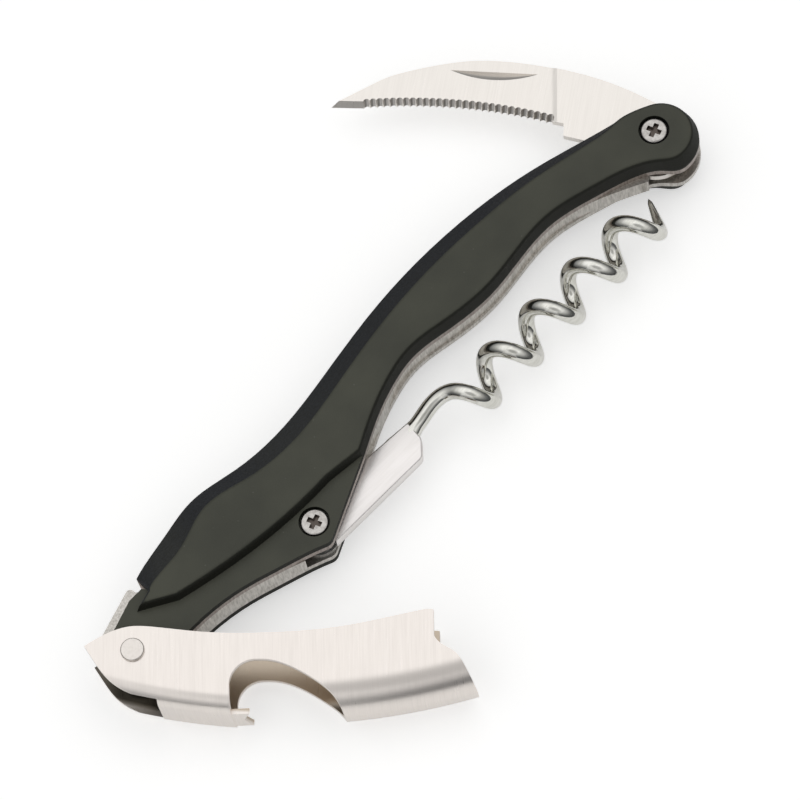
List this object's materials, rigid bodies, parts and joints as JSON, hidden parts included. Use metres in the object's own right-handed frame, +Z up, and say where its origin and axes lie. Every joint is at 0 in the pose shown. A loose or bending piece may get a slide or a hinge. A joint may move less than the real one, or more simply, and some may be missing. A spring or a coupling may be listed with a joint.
{
  "type": "lever corkscrew",
  "caption": "Folding lever corkscrew with a black two-sided handle, a serrated crescent foil blade, a right-handed worm and a bent-sheet lever with a cap lifter.",
  "frame": {"origin": "on the rear face of the handle, in the middle of the raised grip", "axes": "+X along the handle from the lever rivet to the blade screw, +Y towards the back of the handle where the blade folds in, +Z up out of the front face, along every pivot"},
  "size_m": [0.118, 0.0791, 0.0118],
  "materials": {
    "grip": "satin black with a fine moulded grain",
    "liner": "stamped edge, brushed",
    "spring": "stamped edge, satin",
    "pin": "turned",
    "blade": "fine satin",
    "screw": "bright turned",
    "washer": "plain",
    "worm": "bright plated",
    "lever": "brushed across its length",
    "rivet": "flat peened head"
  },
  "bodies": {
    "handle": {"front_scale": "grip", "rear_scale": "grip", "front_liner": "liner", "rear_liner": "liner", "spring": "spring", "tail_pin": "pin", "spring_pin": "pin", "blade_screw": "screw", "blade_nut": "screw", "blade_washer_front": "washer", "blade_washer_rear": "washer", "worm_screw": "screw", "worm_nut": "screw", "worm_washer_front": "washer", "worm_washer_rear": "washer"},
    "blade": {"blade": "blade"},
    "worm": {"worm": "worm"},
    "rivet": {"lever_rivet": "rivet"},
    "lever": {"lever": "lever"}
  },
  "joints": [
    {"name": "blade_swing", "type": "hinge", "parent": "handle", "child": "blade", "pos_m": [0.0488, -0.0065, 0.0059], "axis": [0, 0, -1], "range_deg": [-47, 133]},
    {"name": "worm_swing", "type": "hinge", "parent": "handle", "child": "worm", "pos_m": [-0.0269, -0.0116, 0.0059], "axis": [0, 0, -1], "range_deg": [0, 105]},
    {"name": "lever_swing", "type": "hinge", "parent": "handle", "child": "rivet", "pos_m": [-0.058, -0.0065, 0.0059], "axis": [0, 0, -1], "range_deg": [0, 77.7]},
    {"name": "lever_fold", "type": "hinge", "parent": "rivet", "child": "lever", "pos_m": [-0.058, -0.0065, 0.0059], "axis": [0, 0, -1], "range_deg": [-31.5, 0]}
  ],
  "couplings": [
    {"joint": "lever_swing", "follows": "worm_swing", "ratio": 0.74}
  ]
}
